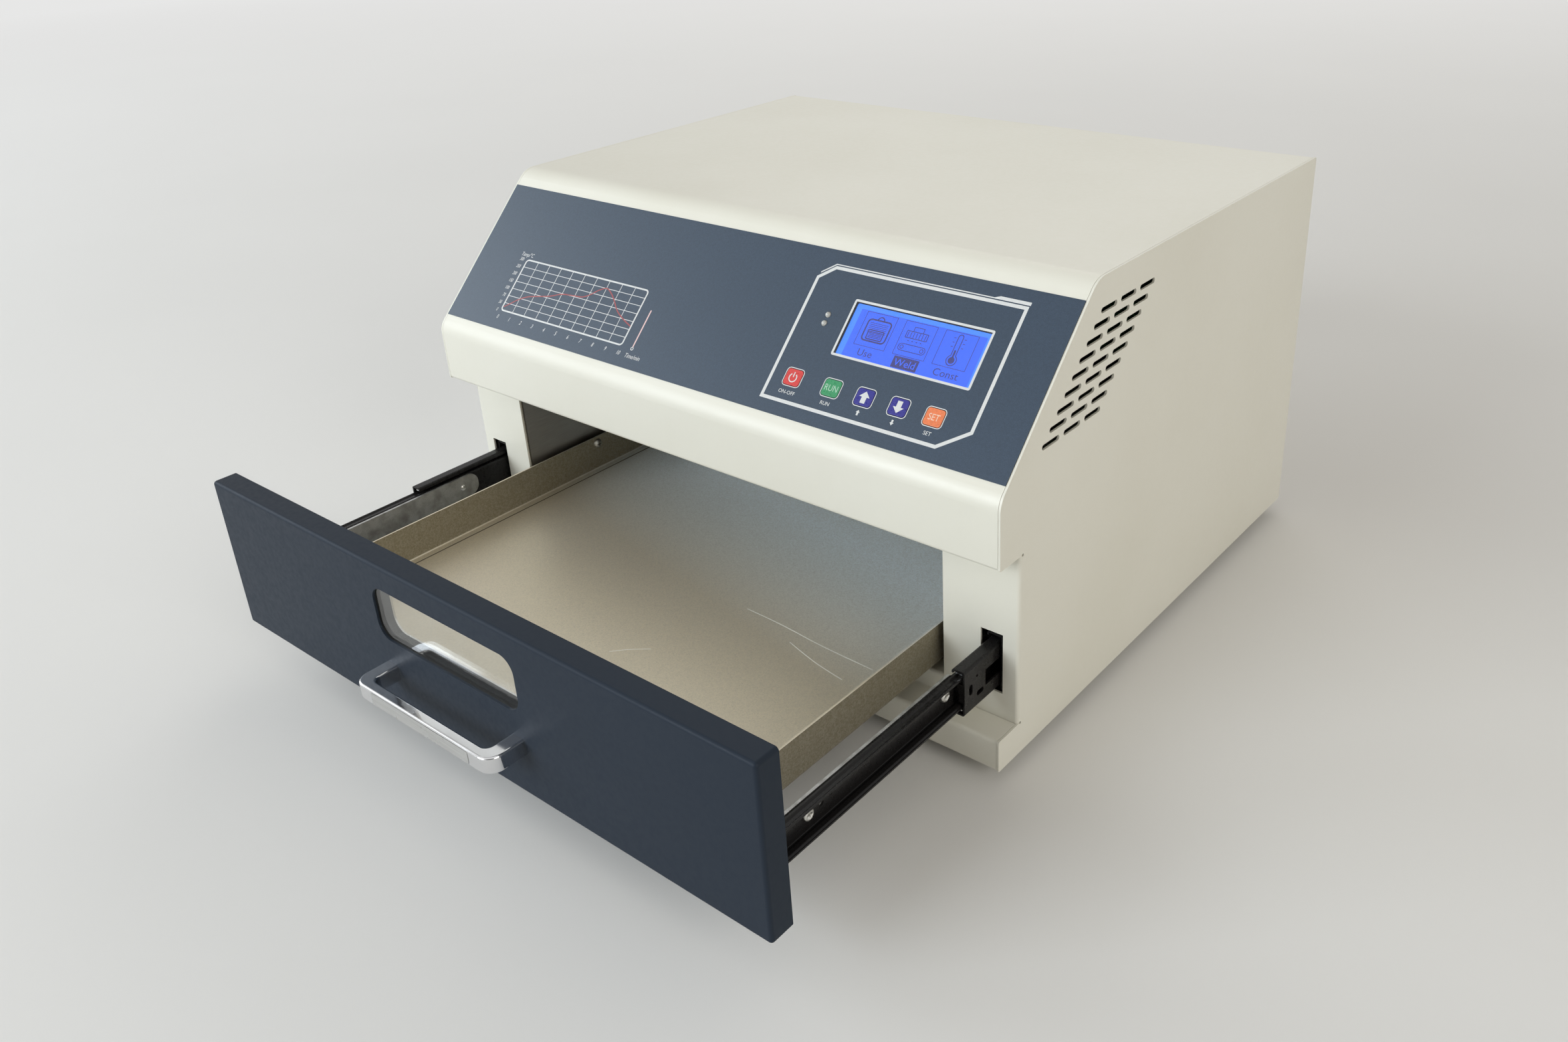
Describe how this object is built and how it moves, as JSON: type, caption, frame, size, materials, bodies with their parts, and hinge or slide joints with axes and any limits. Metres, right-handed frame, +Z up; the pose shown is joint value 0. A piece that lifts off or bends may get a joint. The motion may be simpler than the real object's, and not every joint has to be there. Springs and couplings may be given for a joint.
{
  "type": "reflow oven",
  "caption": "Bench reflow oven with a sloped control face, a front drawer with a window on telescopic slides, an infrared chamber and a rear fan.",
  "frame": {"origin": "middle of the underside of the feet, under the middle of the length with the drawer as pictured", "axes": "+X to the right seen from the front, +Y from the drawer to the rear, +Z up"},
  "size_m": [0.43, 0.5504, 0.248],
  "materials": {
    "ivory_paint": "fine textured powder coat",
    "overlay_film": "fine textured dark slate film",
    "display_pane": "clear polished plastic",
    "display_glass": "lit blue display",
    "display_frame": "black moulded frame",
    "lamp_lens": "clear moulded lens",
    "key_red": "moulded key",
    "key_green": "moulded key",
    "key_blue": "moulded key",
    "key_orange": "moulded key",
    "circuit_board": "green solder mask",
    "zinc_steel": "zinc plated",
    "stainless": "mill finish sheet",
    "wool": "white mineral wool",
    "bright_aluminium": "polished sheet",
    "quartz": "clear tube",
    "white_ceramic": "unglazed",
    "foot_rubber": "black moulded",
    "black_plastic": "black moulded",
    "core_iron": "varnished laminations",
    "wire_jacket": "insulated wire",
    "bright_wire": "plated wire",
    "rail_black": "satin black coat",
    "ball_steel": "hardened balls in a steel cage",
    "grey_steel": "bare strip",
    "slate_paint": "satin dark blue-grey coat",
    "window_pane": "clear heat-proof glass",
    "window_black": "black heat-proof ring",
    "handle_chrome": "polished plate",
    "handle_satin": "satin strip"
  },
  "bodies": {
    "case": {"base_pan": "ivory_paint", "left_side_panel": "ivory_paint", "right_side_panel": "ivory_paint", "top_cover": "ivory_paint", "rear_panel": "ivory_paint", "control_overlay": "overlay_film", "lcd_window": "display_pane", "lcd_panel": "display_glass", "lcd_frame": "display_frame", "indicator_leds": "lamp_lens", "control_board": "circuit_board", "power_board": "circuit_board", "case_screws": "zinc_steel", "foot_screws": "zinc_steel", "board_standoffs": "zinc_steel", "heater_brackets": "zinc_steel", "heat_shield": "zinc_steel", "left_rail_bracket": "zinc_steel", "right_rail_bracket": "zinc_steel", "outer_rail_screws": "zinc_steel", "fan_screws": "zinc_steel", "chamber_liner": "stainless", "thermocouple": "stainless", "insulation": "wool", "reflector": "bright_aluminium", "heater_tubes": "quartz", "heater_end_caps": "white_ceramic", "rubber_feet": "foot_rubber", "fan_frame": "black_plastic", "power_inlet": "black_plastic", "fuse_drawer": "black_plastic", "solid_state_relay": "black_plastic", "transformer": "core_iron", "wiring_loom": "wire_jacket", "fan_guard": "bright_wire", "left_outer_rail": "rail_black", "right_outer_rail": "rail_black"},
    "drawer": {"drawer_front": "slate_paint", "drawer_back_plate": "zinc_steel", "window_glass": "window_pane", "window_frame": "window_black", "handle": "handle_chrome", "handle_inlay": "handle_satin", "tray": "stainless", "drawer_screws": "zinc_steel", "left_drawer_arm": "grey_steel", "right_drawer_arm": "grey_steel", "rail_screws": "zinc_steel", "left_inner_rail": "rail_black", "right_inner_rail": "rail_black"},
    "left_mid": {"left_mid_rail": "rail_black", "left_ball_cages": "ball_steel"},
    "right_mid": {"right_mid_rail": "rail_black", "right_ball_cages": "ball_steel"},
    "fan_rotor": {"fan_rotor": "black_plastic"},
    "key_power": {"key_power": "key_red"},
    "key_run": {"key_run": "key_green"},
    "key_up": {"key_up": "key_blue"},
    "key_down": {"key_down": "key_blue"},
    "key_set": {"key_set": "key_orange"}
  },
  "joints": [
    {"name": "drawer_slide", "type": "slide", "parent": "case", "child": "drawer", "axis": [0, -1, 0], "range_m": [-0.1703, 0.1097]},
    {"name": "left_mid_slide", "type": "slide", "parent": "case", "child": "left_mid", "axis": [0, -1, 0], "range_m": [-0.07001, 0.0451]},
    {"name": "right_mid_slide", "type": "slide", "parent": "case", "child": "right_mid", "axis": [0, -1, 0], "range_m": [-0.03221, 0.02075]},
    {"name": "key_power_press", "type": "slide", "parent": "case", "child": "key_power", "axis": [0, 0.7071, -0.7071], "range_m": [0, 0.0004], "stiffness_N_per_m": 600},
    {"name": "key_run_press", "type": "slide", "parent": "case", "child": "key_run", "axis": [0, 0.7071, -0.7071], "range_m": [0, 0.0004], "stiffness_N_per_m": 600},
    {"name": "key_up_press", "type": "slide", "parent": "case", "child": "key_up", "axis": [0, 0.7071, -0.7071], "range_m": [0, 0.0004], "stiffness_N_per_m": 600},
    {"name": "key_down_press", "type": "slide", "parent": "case", "child": "key_down", "axis": [0, 0.7071, -0.7071], "range_m": [0, 0.0004], "stiffness_N_per_m": 600},
    {"name": "key_set_press", "type": "slide", "parent": "case", "child": "key_set", "axis": [0, 0.7071, -0.7071], "range_m": [0, 0.0004], "stiffness_N_per_m": 600},
    {"name": "fan_spin", "type": "hinge", "parent": "case", "child": "fan_rotor", "pos_m": [0, 0.26455, 0.193], "axis": [0, 1, 0], "continuous": true}
  ],
  "couplings": [
    {"joint": "left_mid_slide", "follows": "drawer_slide", "ratio": 0.41104},
    {"joint": "right_mid_slide", "follows": "drawer_slide", "ratio": 0.18908}
  ]
}
